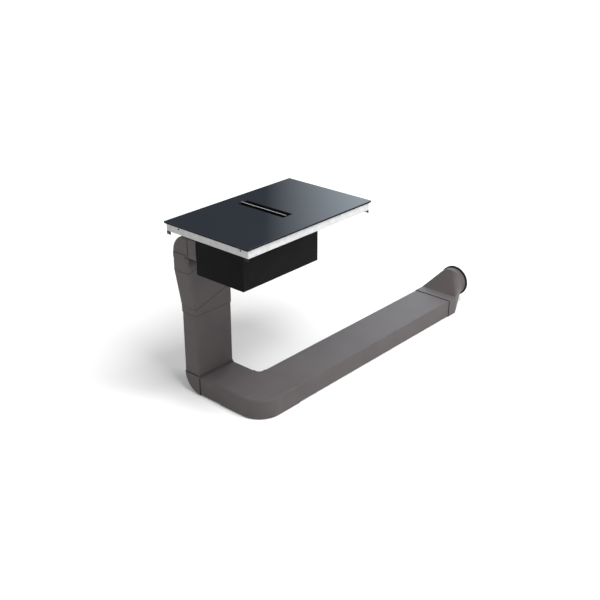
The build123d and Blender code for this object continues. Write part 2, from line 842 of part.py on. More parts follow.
mount_reach = mount_circle * cos(radians(45))
mount_foot = box_floor + box_wall
with BuildPart() as fan_mounts:
    with BuildSketch(Plane.XY.offset(mount_foot)):
        with Locations(*around(fan_x, fan_y, mount_reach, mount_reach)):
            Rectangle(mount_size, mount_size)
    extrude(amount=air_floor - volute_wall - mount_foot)
save(fan_mounts, "fan_mounts")

# ======== flat duct ========
pipe_outer = (pipe_width, pipe_height, pipe_corner)
pipe_inner = (bore_width, bore_height, bore_corner)
socket_inner = (socket_width, socket_height, socket_corner)
fitting_outer = (fitting_width, fitting_height, fitting_corner)
insert_outer = (bore_width - 2 * insert_gap, bore_height - 2 * insert_gap, bore_corner)
insert_inner = (insert_outer[0] - 2 * insert_wall, insert_outer[1] - 2 * insert_wall, bore_corner)
cavity = (socket_width, socket_height, cut_share * socket_corner)
web_outer = (fitting_width - fitting_wall, fitting_height - fitting_wall, web_cut)


def clipped(width, height, cut, mode=Mode.ADD):
    """Rectangle with cut corners, in the sketch being drawn."""
    x, y = width / 2, height / 2
    corners = ((x, y - cut), (x - cut, y), (cut - x, y), (-x, y - cut))
    Polygon(*corners, *[(-i, -j) for i, j in corners], mode=mode)


def facing(x, y, z, way):
    """Duct's cross-section at a place, looking the given way."""
    across = (0, 1, 0) if way[0] else (1, 0, 0)
    return Plane((x, y, z), x_dir=across, z_dir=way)


def spigots(ends, outer, inner, reach):
    """Inner rim and spigot at each end of a bend; the rim joins them to its wall."""
    with BuildPart() as made:
        for end in ends:
            for section, length in ((web_outer, bend_lip), (outer, bend_lip + reach)):
                with BuildSketch(end.offset(-bend_lip)):
                    clipped(*section)
                    clipped(*inner, mode=Mode.SUBTRACT)
                extrude(amount=length)
    return made


def tight_bend(ends, pivot, outer, inner, reach):
    """Quarter turn round a line along X, with a spigot at each end."""
    with BuildPart() as made:
        with BuildSketch(ends[0]):
            RectangleRounded(*fitting_outer)
            clipped(*cavity, mode=Mode.SUBTRACT)
        revolve(axis=Axis(pivot, (-1, 0, 0)), revolution_arc=90)
        add(spigots(ends, outer, inner, reach).part)
    return made


turn = fitting_height / 2 + bend_inner
elbow_y = drop_y - turn
elbow_z = outlet_z - turn
collar_end = elbow_y - seal_gap
collar_plane = facing(up_x, box_y + box_depth, outlet_z, (0, 1, 0))
with BuildPart() as outlet_collar:
    add(tube(collar_plane, collar_end - box_y - box_depth, fitting_outer, socket_inner).part)
    with BuildSketch(collar_plane):
        clipped(*web_outer)
        Rectangle(window_width, window_height, mode=Mode.SUBTRACT)
    extrude(amount=ledge_height)
save(outlet_collar, "outlet_collar")

elbow_ends = (
    facing(up_x, elbow_y, outlet_z, (0, -1, 0)),
    facing(up_x, drop_y, elbow_z, (0, 0, -1)),
)


def knee_block(inset, edge_cut, size):
    """The elbow's solid shape, drawn in from its outside by the inset, its edges cut."""
    half = fitting_height / 2 - inset
    top = outlet_z + half
    back = drop_y + half
    inner_y = drop_y - half
    inner_z = outlet_z - half
    side = Plane((up_x - fitting_width / 2 + inset, 0, 0), x_dir=(0, 1, 0), z_dir=(1, 0, 0))
    with BuildPart() as made:
        with BuildSketch(side) as knee:
            with BuildLine():
                Polyline(
                    (elbow_y, top),
                    (back, top),
                    (back, elbow_z),
                    (inner_y, elbow_z),
                    (inner_y, inner_z),
                    (elbow_y, inner_z),
                    close=True,
                )
            make_face()
            by_reach = knee.vertices().sort_by_distance((back, top))
            fillet(by_reach[0], elbow_outer - inset)
            inner = knee.vertices().sort_by_distance((inner_y, inner_z))
            fillet(inner[0], elbow_inner + inset)
        extrude(amount=fitting_width - 2 * inset)
        ends = made.faces().sort_by(Axis.Y)[0].edges() + made.faces().sort_by(Axis.Z)[0].edges()
        edge_cut(made.edges().filter_by(Plane.YZ) - ends, size)
    return made


with BuildPart() as rear_elbow:
    add(knee_block(0, fillet, fitting_corner).part)
    add(knee_block(fitting_wall, chamfer, cavity[2]).part, mode=Mode.SUBTRACT)
    add(spigots(elbow_ends, pipe_outer, pipe_inner, seat_depth - seal_gap).part)
save(rear_elbow, "rear_elbow")

# The offset duct drops straight, leans to the right between two parallel mitres, and ends
# in a straight socket.
offset_top = elbow_z - seal_gap
offset_end = hob_height - offset_drop
mitre_up = hob_height - upper_mitre + mitre_rise / 2
mitre_low = hob_height - lower_mitre + mitre_rise / 2
mitre_dir = (fitting_width, 0, mitre_rise)
mitre_normal = (-mitre_rise, 0, fitting_width)


def dogleg(outline, section):
    """Solid of the offset duct's run, whose straight ends have the given cross-section."""
    high = Plane((up_x, drop_y, mitre_up), x_dir=mitre_dir, z_dir=mitre_normal)
    low = Plane((low_x, drop_y, mitre_low), x_dir=mitre_dir, z_dir=mitre_normal)
    lean = Vector(low_x - up_x, 0, mitre_low - mitre_up)
    with BuildPart() as upper:
        with BuildSketch(Plane((up_x, drop_y, offset_top))):
            outline(*section)
        extrude(amount=mitre_up - offset_top - mitre_rise)
        split(bisect_by=high, keep=Keep.TOP)
    with BuildPart() as lower:
        with BuildSketch(Plane((low_x, drop_y, offset_end))):
            outline(*section)
        extrude(amount=mitre_low - offset_end + mitre_rise)
        split(bisect_by=low, keep=Keep.BOTTOM)
    cut_face = upper.faces().sort_by_distance((up_x, drop_y, mitre_up))[0]
    with BuildPart() as made:
        add(upper.part)
        add(lower.part)
        extrude(cut_face, amount=lean.length, dir=lean)
    return made


ledge_plane = Plane((low_x, drop_y, offset_end + seat_depth))
sleeve_outer = tuple(size + 2 * offset_proud for size in fitting_outer)
sleeve_inner = tuple(size + 2 * socket_gap for size in fitting_outer)
with BuildPart() as offset_duct:
    add(dogleg(RectangleRounded, fitting_outer).part)
    with BuildSketch(Plane((up_x, drop_y, offset_top + sleeve_rise))):
        RectangleRounded(*sleeve_outer)
    extrude(amount=-offset_rim - sleeve_rise)
    with BuildSketch(Plane((up_x, drop_y, offset_top))):
        RectangleRounded(*sleeve_inner)
    extrude(amount=sleeve_rise, mode=Mode.SUBTRACT)
    with Locations((up_x, drop_y - sleeve_outer[1] / 2, offset_top)):
        Box(
            sleeve_outer[0],
            2 * sleeve_outer[2],
            2 * sleeve_rise,
            align=(Align.CENTER, Align.CENTER, Align.MIN),
            mode=Mode.SUBTRACT,
        )
    add(dogleg(clipped, cavity).part, mode=Mode.SUBTRACT)
    with BuildSketch(ledge_plane):
        clipped(*web_outer)
        clipped(*pipe_inner, mode=Mode.SUBTRACT)
    extrude(amount=ledge_height)
save(offset_duct, "offset_duct")

bend_y = drop_y - turn
bend_z = 2 * run_z + bend_inner
bend_ends = (
    facing(low_x, drop_y, bend_z, (0, 0, 1)),
    facing(low_x, bend_y, run_z, (0, -1, 0)),
)
bend_pivot = (low_x, bend_y, bend_z)
bottom_bend = tight_bend(bend_ends, bend_pivot, insert_outer, insert_inner, insert_reach)
save(bottom_bend, "bottom_bend")

riser_foot = Plane((low_x, drop_y, bend_z + seal_gap))
riser_top = offset_end + seat_depth - seal_gap
riser_duct = tube(riser_foot, riser_top - bend_z - seal_gap, pipe_outer, pipe_inner)
save(riser_duct, "riser_duct")

# Corner bend: an L on the floor with a small inner and a large outer radius.
corner_x = low_x - fitting_width / 2
leg_end = fitting_width + corner_inner + corner_leg
corner_ends = (
    facing(low_x, y_front + leg_end, run_z, (0, 1, 0)),
    facing(corner_x + leg_end, run_y, run_z, (1, 0, 0)),
)


def corner_block(inset, edge_cut, size):
    """The bend's solid shape, drawn in from its outside by the inset, its edges cut."""
    left = corner_x + inset
    front = y_front + inset
    width = fitting_width - 2 * inset
    far_x = corner_x + leg_end
    far_y = y_front + leg_end
    with BuildPart() as made:
        with BuildSketch(Plane.XY.offset(inset)) as ell:
            with BuildLine():
                Polyline(
                    (left, front),
                    (far_x, front),
                    (far_x, front + width),
                    (left + width, front + width),
                    (left + width, far_y),
                    (left, far_y),
                    close=True,
                )
            make_face()
            by_reach = ell.vertices().sort_by_distance((left, front))
            fillet(by_reach[0], corner_outer - inset)
            inner = ell.vertices().sort_by_distance((left + width, front + width))
            fillet(inner[0], corner_inner + inset)
        extrude(amount=fitting_height - 2 * inset)
        ends = made.faces().sort_by(Axis.Y)[-1].edges() + made.faces().sort_by(Axis.X)[-1].edges()
        edge_cut(made.edges().filter_by(Plane.XY) - ends, size)
    return made


with BuildPart() as corner_bend:
    add(corner_block(0, fillet, fitting_corner).part)
    add(corner_block(fitting_wall, chamfer, cavity[2]).part, mode=Mode.SUBTRACT)
    add(spigots(corner_ends, insert_outer, insert_inner, insert_reach).part)
save(corner_bend, "corner_bend")

short_start = corner_ends[0].offset(seal_gap)
short_length = bend_y - (y_front + leg_end) - 2 * seal_gap
floor_duct_short = tube(short_start, short_length, pipe_outer, pipe_inner)
save(floor_duct_short, "floor_duct_short")

outlet_x = x_left + run_reach
mouth_x = outlet_x - adapter_length
long_start = corner_ends[1].offset(seal_gap)
long_end = mouth_x + seat_depth - seal_gap
floor_duct_long = tube(
    long_start, long_end - (corner_x + leg_end) - seal_gap, pipe_outer, pipe_inner
)
save(floor_duct_long, "floor_duct_long")

# Flat to round: a straight socket, a lofted transition that climbs to the round axis, and
# a round collar.
round_z = run_z + round_rise
socket_end = mouth_x + seat_depth + ledge_height + adapter_neck
round_start = socket_end + adapter_taper


def flat_to_round(plane_x, section, radius):
    """Loft from a flat section to a circle that stands at the round axis."""
    with BuildPart() as made:
        with BuildSketch(facing(plane_x, run_y, run_z, (1, 0, 0))):
            RectangleRounded(*section)
        with BuildSketch(facing(round_start, run_y, round_z, (1, 0, 0))):
            RectangleRounded(2 * radius, 2 * radius, radius - round_flat)
        loft(ruled=True)
    return made


mouth_plane = facing(mouth_x, run_y, run_z, (1, 0, 0))
round_plane = facing(round_start, run_y, round_z, (1, 0, 0))
with BuildPart() as round_adapter:
    with BuildSketch(mouth_plane):
        RectangleRounded(*fitting_outer)
    extrude(amount=socket_end - mouth_x)
    add(flat_to_round(socket_end, fitting_outer, round_bore + round_wall).part)
    with BuildSketch(round_plane):
        Circle(round_bore + round_wall)
    extrude(amount=outlet_x - round_start)
    add(flat_to_round(socket_end, pipe_inner, round_bore).part, mode=Mode.SUBTRACT)
    with BuildSketch(mouth_plane):
        clipped(*cavity)
    extrude(amount=seat_depth, mode=Mode.SUBTRACT)
    with BuildSketch(mouth_plane):
        RectangleRounded(*pipe_inner)
    extrude(amount=socket_end - mouth_x, mode=Mode.SUBTRACT)
    with BuildSketch(round_plane):
        Circle(round_bore)
    extrude(amount=outlet_x - round_start, mode=Mode.SUBTRACT)
save(round_adapter, "round_adapter")

with BuildPart() as outlet_lip:
    with BuildSketch(facing(outlet_x - rim_width, run_y, round_z, (1, 0, 0))):
        Circle(round_bore + round_wall + rim_height)
        Circle(round_bore + round_wall, mode=Mode.SUBTRACT)
    extrude(amount=rim_width)
    chamfer(outlet_lip.faces().filter_by(Axis.X).edges().sort_by(SortBy.RADIUS)[-2:], rim_bevel)
save(outlet_lip, "outlet_lip")

shell_seal = (fitting_width - 2 * seal_back, fitting_height - 2 * seal_back, seal_cut)
pipe_seal = (pipe_width, pipe_height, cut_share * pipe_corner)
seal_bore = (bore_width, bore_height, cut_share * bore_corner)
with BuildPart() as duct_seals:
    for plane in elbow_ends:
        with BuildSketch(plane):
            clipped(*shell_seal)
            clipped(*cavity, mode=Mode.SUBTRACT)
        extrude(amount=seal_gap)
    butted = (
        Plane((low_x, drop_y, riser_top)),
        *bend_ends,
        *corner_ends,
        facing(long_end, run_y, run_z, (1, 0, 0)),
    )
    for plane in butted:
        with BuildSketch(plane):
            clipped(*pipe_seal)
            clipped(*seal_bore, mode=Mode.SUBTRACT)
        extrude(amount=seal_gap)
save(duct_seals, "duct_seals")
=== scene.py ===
import bpy
import bmesh
import json
import math
from mathutils import Euler, Matrix, Vector


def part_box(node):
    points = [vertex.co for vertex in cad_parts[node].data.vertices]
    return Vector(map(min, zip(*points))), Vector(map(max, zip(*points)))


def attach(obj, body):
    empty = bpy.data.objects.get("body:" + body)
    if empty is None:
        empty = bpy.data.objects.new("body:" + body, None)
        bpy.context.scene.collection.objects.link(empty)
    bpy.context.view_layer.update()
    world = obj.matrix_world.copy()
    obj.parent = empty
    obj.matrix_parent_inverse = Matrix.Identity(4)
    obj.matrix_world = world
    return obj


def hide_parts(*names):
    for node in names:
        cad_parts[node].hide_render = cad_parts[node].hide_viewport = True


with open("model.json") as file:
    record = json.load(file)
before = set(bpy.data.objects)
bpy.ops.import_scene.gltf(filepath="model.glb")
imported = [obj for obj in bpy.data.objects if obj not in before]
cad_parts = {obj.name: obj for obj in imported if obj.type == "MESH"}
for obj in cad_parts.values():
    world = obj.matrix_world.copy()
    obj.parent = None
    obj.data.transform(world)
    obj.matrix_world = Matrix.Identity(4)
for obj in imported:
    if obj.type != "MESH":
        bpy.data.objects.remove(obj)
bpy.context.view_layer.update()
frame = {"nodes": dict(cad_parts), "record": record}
nodes = frame["nodes"]
bodies = frame["record"]["behaviour"]["bodies"]
bodyOf = {node: body for body, group in bodies.items() for node in group}
slotOf = {row["node"]: row["material_slot"] for row in frame["record"]["subparts"]}
print("frame loaded:", len(nodes), "nodes")


# small tools for the materials
noiseBand = (0.3, 0.7)  # nearly all of a noise field lies between these


def startMaterial(name, colour, roughness, metallic=0.0, specular=0.5):
    material = bpy.data.materials.new(name)
    material.use_nodes = True
    tree = material.node_tree
    shader = tree.nodes["Principled BSDF"]
    shader.inputs["Base Color"].default_value = (*colour, 1.0)
    shader.inputs["Roughness"].default_value = roughness
    shader.inputs["Metallic"].default_value = metallic
    shader.inputs["Specular IOR Level"].default_value = specular
    return material, tree, shader


def addNode(tree, kind, **values):
    # each value goes to the socket of that name, or else to the property
    node = tree.nodes.new(kind)
    for key, value in values.items():
        if key in node.inputs:
            node.inputs[key].default_value = value
        else:
            setattr(node, key, value)
    return node


def noiseField(tree, noise, stretch=(1, 1, 1)):
    # a noise is its scale and its detail
    scale, detail = noise
    place = addNode(tree, "ShaderNodeTexCoord")
    mapping = addNode(tree, "ShaderNodeMapping")
    mapping.inputs["Scale"].default_value = stretch
    field = addNode(tree, "ShaderNodeTexNoise", Scale=scale, Detail=detail)
    tree.links.new(place.outputs["Object"], mapping.inputs["Vector"])
    tree.links.new(mapping.outputs["Vector"], field.inputs["Vector"])
    return field.outputs["Fac"]


def spread(tree, field, low, high, fromLow=noiseBand[0], fromHigh=noiseBand[1]):
    ranged = addNode(tree, "ShaderNodeMapRange")
    ranged.inputs["From Min"].default_value = fromLow
    ranged.inputs["From Max"].default_value = fromHigh
    ranged.inputs["To Min"].default_value = low
    ranged.inputs["To Max"].default_value = high
    tree.links.new(field, ranged.inputs["Value"])
    return ranged.outputs["Result"]


def tint(tree, shader, field, dark, light):
    ramp = addNode(tree, "ShaderNodeValToRGB")
    for stop, position, colour in zip(ramp.color_ramp.elements, noiseBand, (dark, light)):
        stop.position = position
        stop.color = (*colour, 1)
    tree.links.new(field, ramp.inputs["Fac"])
    tree.links.new(ramp.outputs["Color"], shader.inputs["Base Color"])


def bump(tree, shader, field, distance, strength):
    relief = addNode(tree, "ShaderNodeBump", Strength=strength, Distance=distance)
    tree.links.new(field, relief.inputs["Height"])
    tree.links.new(relief.outputs["Normal"], shader.inputs["Normal"])


# finishes: a dictionary for each, beside the function that builds it
# dark and light are the two ends of the colour's clouding, and a bump's depth is in metres
glassLook = {
    "colour": (0.013, 0.0155, 0.022),
    "roughness": 0.06,
    "ior": 1.52,
    "smear": (3.0, 3.0),
    "gloss": (0.04, 0.1),
    "ripple": (14.0, 1.0),
    "depth": 0.0002,
    "strength": 0.15,
}


def hobGlass():
    look = glassLook
    material, tree, shader = startMaterial("hobGlass", look["colour"], look["roughness"])
    shader.inputs["IOR"].default_value = look["ior"]
    smear = noiseField(tree, look["smear"])
    tree.links.new(spread(tree, smear, *look["gloss"]), shader.inputs["Roughness"])
    bump(tree, shader, noiseField(tree, look["ripple"]), look["depth"], look["strength"])
    return material


brushLook = {"grain": (90.0, 5.0), "smoother": 0.07, "rougher": 0.1, "depth": 0.0001, "strength": 0.25}
steelLook = {
    "dark": (0.62, 0.62, 0.63),
    "light": (0.8, 0.8, 0.81),
    "roughness": 0.25,
    "stretch": (1, 0.02, 1),  # the grain runs where this is small
}
aluminiumLook = {
    "dark": (0.6, 0.6, 0.62),
    "light": (0.74, 0.74, 0.75),
    "roughness": 0.35,
    "stretch": (0.05, 1, 1),
}


def brushedSteel(name, dark, light, roughness, stretch):
    material, tree, shader = startMaterial(name, light, roughness, metallic=1.0)
    grain = noiseField(tree, brushLook["grain"], stretch)
    tint(tree, shader, grain, dark, light)
    low, high = roughness - brushLook["smoother"], roughness + brushLook["rougher"]
    tree.links.new(spread(tree, grain, low, high), shader.inputs["Roughness"])
    bump(tree, shader, grain, brushLook["depth"], brushLook["strength"])
    return material


# pale coat on galvanised sheet: soft spangle under a matt skin
coatLook = {
    "base": (0.6, 0.6, 0.6),
    "dark": (0.46, 0.46, 0.47),
    "light": (0.56, 0.56, 0.56),
    "roughness": 0.45,
    "metallic": 0.25,
    "spangle": (40.0, 6.0),
    "skin": (300.0, 2.0),
    "depth": 0.0002,
    "strength": 0.3,
}


def coatedSheet():
    look = coatLook
    material, tree, shader = startMaterial("coatedSheet", look["base"], look["roughness"], look["metallic"])
    tint(tree, shader, noiseField(tree, look["spangle"]), look["dark"], look["light"])
    bump(tree, shader, noiseField(tree, look["skin"]), look["depth"], look["strength"])
    return material


# fine orange peel on sheet metal
powderLook = {"cloud": (12.0, 3.0), "grain": (900.0, 2.0), "sheen": 0.08, "depth": 0.0002, "strength": 0.35}
flapLook = {
    "dark": (0.004, 0.004, 0.005),
    "light": (0.007, 0.007, 0.008),
    "roughness": 0.5,
    "specular": 0.15,
}
frameLook = {**flapLook, "roughness": 0.3, "specular": 0.5}
boxLook = {
    "dark": (0.0035, 0.0035, 0.004),
    "light": (0.0055, 0.0055, 0.006),
    "roughness": 0.65,
    "specular": 0.06,
}


def powderBlack(name, dark, light, roughness, specular):
    material, tree, shader = startMaterial(name, dark, roughness, specular=specular)
    tint(tree, shader, noiseField(tree, powderLook["cloud"]), dark, light)
    grain = noiseField(tree, powderLook["grain"])
    sheen = powderLook["sheen"]
    tree.links.new(spread(tree, grain, roughness - sheen, roughness + sheen), shader.inputs["Roughness"])
    bump(tree, shader, grain, powderLook["depth"], powderLook["strength"])
    return material


# cloudy flow colour and a fine spark-eroded skin
ductLook = {
    "dark": (0.068, 0.058, 0.059),
    "light": (0.084, 0.073, 0.074),
    "roughness": 0.52,
    "specular": 0.35,
    "flow": (5.0, 4.0),
    "skin": (700.0, 3.0),
    "gloss": (0.46, 0.6),
    "depth": 0.0003,
    "strength": 0.3,
    "shadow": 0.3,  # how dark the mitres' lines are beside the duct
}


def ductPlastic(name, shade=1.0):
    look = ductLook
    dark = tuple(part * shade for part in look["dark"])
    light = tuple(part * shade for part in look["light"])
    material, tree, shader = startMaterial(name, light, look["roughness"], specular=look["specular"])
    tint(tree, shader, noiseField(tree, look["flow"]), dark, light)
    skin = noiseField(tree, look["skin"])
    tree.links.new(spread(tree, skin, *look["gloss"]), shader.inputs["Roughness"])
    bump(tree, shader, skin, look["depth"], look["strength"])
    return material


mouldedLook = {"lighter": 1.25, "cloud": (30.0, 3.0), "grain": (500.0, 2.0), "depth": 0.0002, "strength": 0.3}
rubberLook = {"colour": (0.012, 0.012, 0.012), "roughness": 0.75, "specular": 0.15}
motorLook = {"colour": (0.2, 0.2, 0.21), "roughness": 0.4, "specular": 0.4}
edgeLook = {"colour": (0.004, 0.0045, 0.006), "roughness": 0.6, "specular": 0.08}
ferriteLook = {"colour": (0.03, 0.03, 0.032), "roughness": 0.6, "specular": 0.3}


def plainMoulded(name, colour, roughness, specular):
    material, tree, shader = startMaterial(name, colour, roughness, specular=specular)
    light = tuple(min(1.0, part * mouldedLook["lighter"]) for part in colour)
    tint(tree, shader, noiseField(tree, mouldedLook["cloud"]), colour, light)
    grain = noiseField(tree, mouldedLook["grain"])
    bump(tree, shader, grain, mouldedLook["depth"], mouldedLook["strength"])
    return material


# pale steel trim whose colour carries a painted highlight, so it stays bright over the dark slot
trimHighlightLook = {
    "base": (0.4, 0.4, 0.39),
    "dark": (0.34, 0.34, 0.34),
    "light": (0.46, 0.46, 0.455),
    "roughness": 0.45,
    "metallic": 0.35,
    "grain": (120.0, 4.0),
    "stretch": (1, 0.03, 1),
    "depth": 0.0001,
    "strength": 0.3,
}


def paintedHighlightTrim():
    look = trimHighlightLook
    material, tree, shader = startMaterial("paintedHighlightTrim", look["base"], look["roughness"], look["metallic"])
    grain = noiseField(tree, look["grain"], look["stretch"])
    tint(tree, shader, grain, look["dark"], look["light"])
    bump(tree, shader, grain, look["depth"], look["strength"])
    return material


copperLook = {
    "base": (0.55, 0.22, 0.09),
    "dark": (0.4, 0.14, 0.05),
    "light": (0.62, 0.27, 0.12),
    "roughness": 0.35,
    "metallic": 1.0,
    "cloud": (200.0, 2.0),
}
boardLook = {
    "base": (0.01, 0.07, 0.03),
    "dark": (0.008, 0.05, 0.02),
    "light": (0.015, 0.1, 0.045),
    "roughness": 0.4,
    "metallic": 0.0,
    "cloud": (150.0, 1.0),
}


def clouded(name, base, dark, light, roughness, metallic, cloud):
    material, tree, shader = startMaterial(name, base, roughness, metallic)
    tint(tree, shader, noiseField(tree, cloud), dark, light)
    return material


finishes = {
    "black_glass": hobGlass(),
    "light_steel": coatedSheet(),
    "bright_steel": brushedSteel("brightSteel", **steelLook),
    "black_metal": powderBlack("flapBlack", **flapLook),
    "black_plastic": powderBlack("boxBlack", **boxLook),
    "black_rubber": plainMoulded("sealRubber", **rubberLook),
    "duct_plastic": ductPlastic("ductPlastic"),
    "bare_aluminium": brushedSteel("bareAluminium", **aluminiumLook),
    "copper_winding": clouded("copperWinding", **copperLook),
    "circuit_board": clouded("circuitBoard", **boardLook),
    "motor_metal": plainMoulded("motorShell", **motorLook),
}
extraFinishes = {
    "mitreShadow": ductPlastic("ductShadow", ductLook["shadow"]),
    # the flap's trim: pale steel with a painted highlight in its colour
    "trimPaintedHighlight": paintedHighlightTrim(),
    "frameSatin": powderBlack("frameSatin", **frameLook),
    "groundEdge": plainMoulded("groundEdge", **edgeLook),
    "ferriteDisc": plainMoulded("ferriteDisc", **ferriteLook),
}
print("finishes made:", len(finishes) + len(extraFinishes))


def finish(piece, slotName, material=None):
    piece.data.materials.clear()
    piece.data.materials.append(material or finishes[slotName])


def placeObject(name, mesh):
    piece = bpy.data.objects.new(name, mesh)
    bpy.context.collection.objects.link(piece)
    return piece


def settle(piece, node, slotName=None, material=None, standsFor=True):
    finish(piece, slotName or slotOf[node], material)
    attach(piece, bodyOf[node])
    if standsFor:
        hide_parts(node)


def bakePiece(piece):
    # the modifiers' result becomes the piece's own plain mesh
    bpy.context.view_layer.update()
    depsgraph = bpy.context.evaluated_depsgraph_get()
    mesh = bpy.data.meshes.new_from_object(piece.evaluated_get(depsgraph))
    piece.modifiers.clear()
    piece.data = mesh


# pieces that keep the frame's shape, with their edges broken or shaded smooth
shading = {
    "angle": 32.0,  # edges sharper than this stay sharp, in degrees
    "flat": 0.5,  # triangles nearer than this to one plane become one face, in degrees
    "weld": 1e-6,  # points nearer than this are one, in metres
    "segments": 2,  # steps across a broken edge
    "upright": 0.5,  # a face whose normal rises less than this is a side
}
brokenEdges = {  # how wide each piece's edges are broken, in metres
    "glass_top": 0.0004,
    "support_tray": 0.0004,
    "extractor_housing": 0.0006,
    "housing_lid": 0.0005,
    "service_pan": 0.0005,
    "terminal_box": 0.0008,
    "worktop_clamps": 0.0004,
    "insert_frame": 0.0006,
}
# the flap's trim takes its painted highlight, and the insert's frame a satin black
ownFinishAndHighlight = {"flap_trim": extraFinishes["trimPaintedHighlight"], "insert_frame": extraFinishes["frameSatin"]}
# the glass's cut edge isn't polished; the trim's sides take the flap's black as painted shade, so it is
# bright on its upper face alone
sideFinishAndShade = {"glass_top": extraFinishes["groundEdge"], "flap_trim": finishes["black_metal"]}


def smoothCopy(node):
    mesh = nodes[node].data.copy()
    piece = placeObject(node + ".fine", mesh)
    limit = math.radians(shading["angle"])
    work = bmesh.new()
    work.from_mesh(mesh)
    bmesh.ops.remove_doubles(work, verts=work.verts, dist=shading["weld"])
    if node in brokenEdges:
        flat = math.radians(shading["flat"])
        bmesh.ops.dissolve_limit(work, angle_limit=flat, verts=work.verts, edges=work.edges)
    for face in work.faces:
        face.smooth = True
    for edge in work.edges:
        edge.smooth = edge.is_manifold and edge.calc_face_angle(0.0) < limit
    work.to_mesh(mesh)
    work.free()
    if node in brokenEdges:
        bevel = piece.modifiers.new("edges", "BEVEL")
        bevel.width = brokenEdges[node]
        bevel.segments = shading["segments"]
        bevel.limit_method = "ANGLE"
        bevel.angle_limit = limit
        bevel.harden_normals = True
        bakePiece(piece)
    settle(piece, node, material=ownFinishAndHighlight.get(node))
    # the sides of the flap's trim get painted shade in the flap's black, and the glass's sides get its ground
    # edge
    if node in sideFinishAndShade:
        piece.data.materials.append(sideFinishAndShade[node])
        for face in piece.data.polygons:
            face.material_index = 1 if abs(face.normal.z) < shading["upright"] else 0


# tools for the node trees: each size is a named input, and starts at the value in its dictionary
def startTree(name, sizes):
    tree = bpy.data.node_groups.new(name, "GeometryNodeTree")
    tree.interface.new_socket("Geometry", in_out="INPUT", socket_type="NodeSocketGeometry")
    for label, size in sizes.items():
        kind = "NodeSocketInt" if isinstance(size, int) else "NodeSocketFloat"
        socket = tree.interface.new_socket(label, in_out="INPUT", socket_type=kind)
        socket.default_value = size
    tree.interface.new_socket("Geometry", in_out="OUTPUT", socket_type="NodeSocketGeometry")
    return tree, tree.nodes.new("NodeGroupInput")


def join(tree, start, end):
    tree.links.new(start, end)


def endTree(tree, geometry, material):
    real = tree.nodes.new("GeometryNodeRealizeInstances")
    paint = tree.nodes.new("GeometryNodeSetMaterial")
    paint.inputs["Material"].default_value = material
    out = tree.nodes.new("NodeGroupOutput")
    join(tree, geometry, real.inputs["Geometry"])
    join(tree, real.outputs["Geometry"], paint.inputs["Geometry"])
    join(tree, paint.outputs["Geometry"], out.inputs["Geometry"])
    return tree


def growPiece(name, tree, sizes, base=None):
    piece = placeObject(name, base or bpy.data.meshes.new(name))
    modifier = piece.modifiers.new("grow", "NODES")
    modifier.node_group = tree
    for socket in tree.interface.items_tree:
        if socket.in_out == "INPUT" and socket.name in sizes:
            modifier[socket.identifier] = sizes[socket.name]
    bakePiece(piece)
    return piece


def movePiece(piece, place, turn=(0, 0, 0)):
    piece.data.transform(Matrix.Translation(place) @ Euler(turn).to_matrix().to_4x4())


def islands(node):
    # lowest and highest corner of each separate solid in a node
    work = bmesh.new()
    work.from_mesh(nodes[node].data)
    bmesh.ops.remove_doubles(work, verts=work.verts, dist=shading["weld"])
    left = set(work.verts)
    boxes = []
    while left:
        front = [left.pop()]
        found = []
        while front:
            spot = front.pop()
            found.append(spot.co.copy())
            for edge in spot.link_edges:
                other = edge.other_vert(spot)
                if other in left:
                    left.remove(other)
                    front.append(other)
        least = Vector(min(spot[axis] for spot in found) for axis in range(3))
        most = Vector(max(spot[axis] for spot in found) for axis in range(3))
        boxes.append((least, most))
    work.free()
    return boxes


# screws: a bevelled head with a socket, set on each point and turned to its direction
acrossAxis, upAxis = 0, 2
screwLook = {"traySides": 28, "hexSides": 6, "socketSides": 6, "headTop": 0.8, "socketShare": 0.45}
screwSizes = {"Sides": 28, "Radius": 0.004, "Top": 0.0032, "Height": 0.002, "Socket": 0.0018}


def screwTree(material):
    tree, ends = startTree("screws", screwSizes)
    head = addNode(tree, "GeometryNodeMeshCone")
    join(tree, ends.outputs["Sides"], head.inputs["Vertices"])
    join(tree, ends.outputs["Radius"], head.inputs["Radius Bottom"])
    join(tree, ends.outputs["Top"], head.inputs["Radius Top"])
    join(tree, ends.outputs["Height"], head.inputs["Depth"])
    socket = addNode(tree, "GeometryNodeMeshCylinder", Vertices=screwLook["socketSides"])
    join(tree, ends.outputs["Socket"], socket.inputs["Radius"])
    join(tree, ends.outputs["Height"], socket.inputs["Depth"])
    lift = addNode(tree, "GeometryNodeTransform")
    where = addNode(tree, "ShaderNodeCombineXYZ")
    join(tree, ends.outputs["Height"], where.inputs["Z"])
    join(tree, where.outputs["Vector"], lift.inputs["Translation"])
    join(tree, socket.outputs["Mesh"], lift.inputs["Geometry"])
    cut = addNode(tree, "GeometryNodeMeshBoolean", operation="DIFFERENCE")
    join(tree, head.outputs["Mesh"], cut.inputs["Mesh 1"])
    join(tree, lift.outputs["Geometry"], cut.inputs["Mesh 2"])
    facing = addNode(tree, "GeometryNodeInputNamedAttribute", data_type="FLOAT_VECTOR")
    facing.inputs["Name"].default_value = "facing"
    turn = addNode(tree, "FunctionNodeAlignRotationToVector", axis="Z")
    join(tree, facing.outputs["Attribute"], turn.inputs["Vector"])
    spots = addNode(tree, "GeometryNodeInstanceOnPoints")
    join(tree, ends.outputs["Geometry"], spots.inputs["Points"])
    join(tree, cut.outputs["Mesh"], spots.inputs["Instance"])
    join(tree, turn.outputs["Rotation"], spots.inputs["Rotation"])
    return endTree(tree, spots.outputs["Instances"], material)


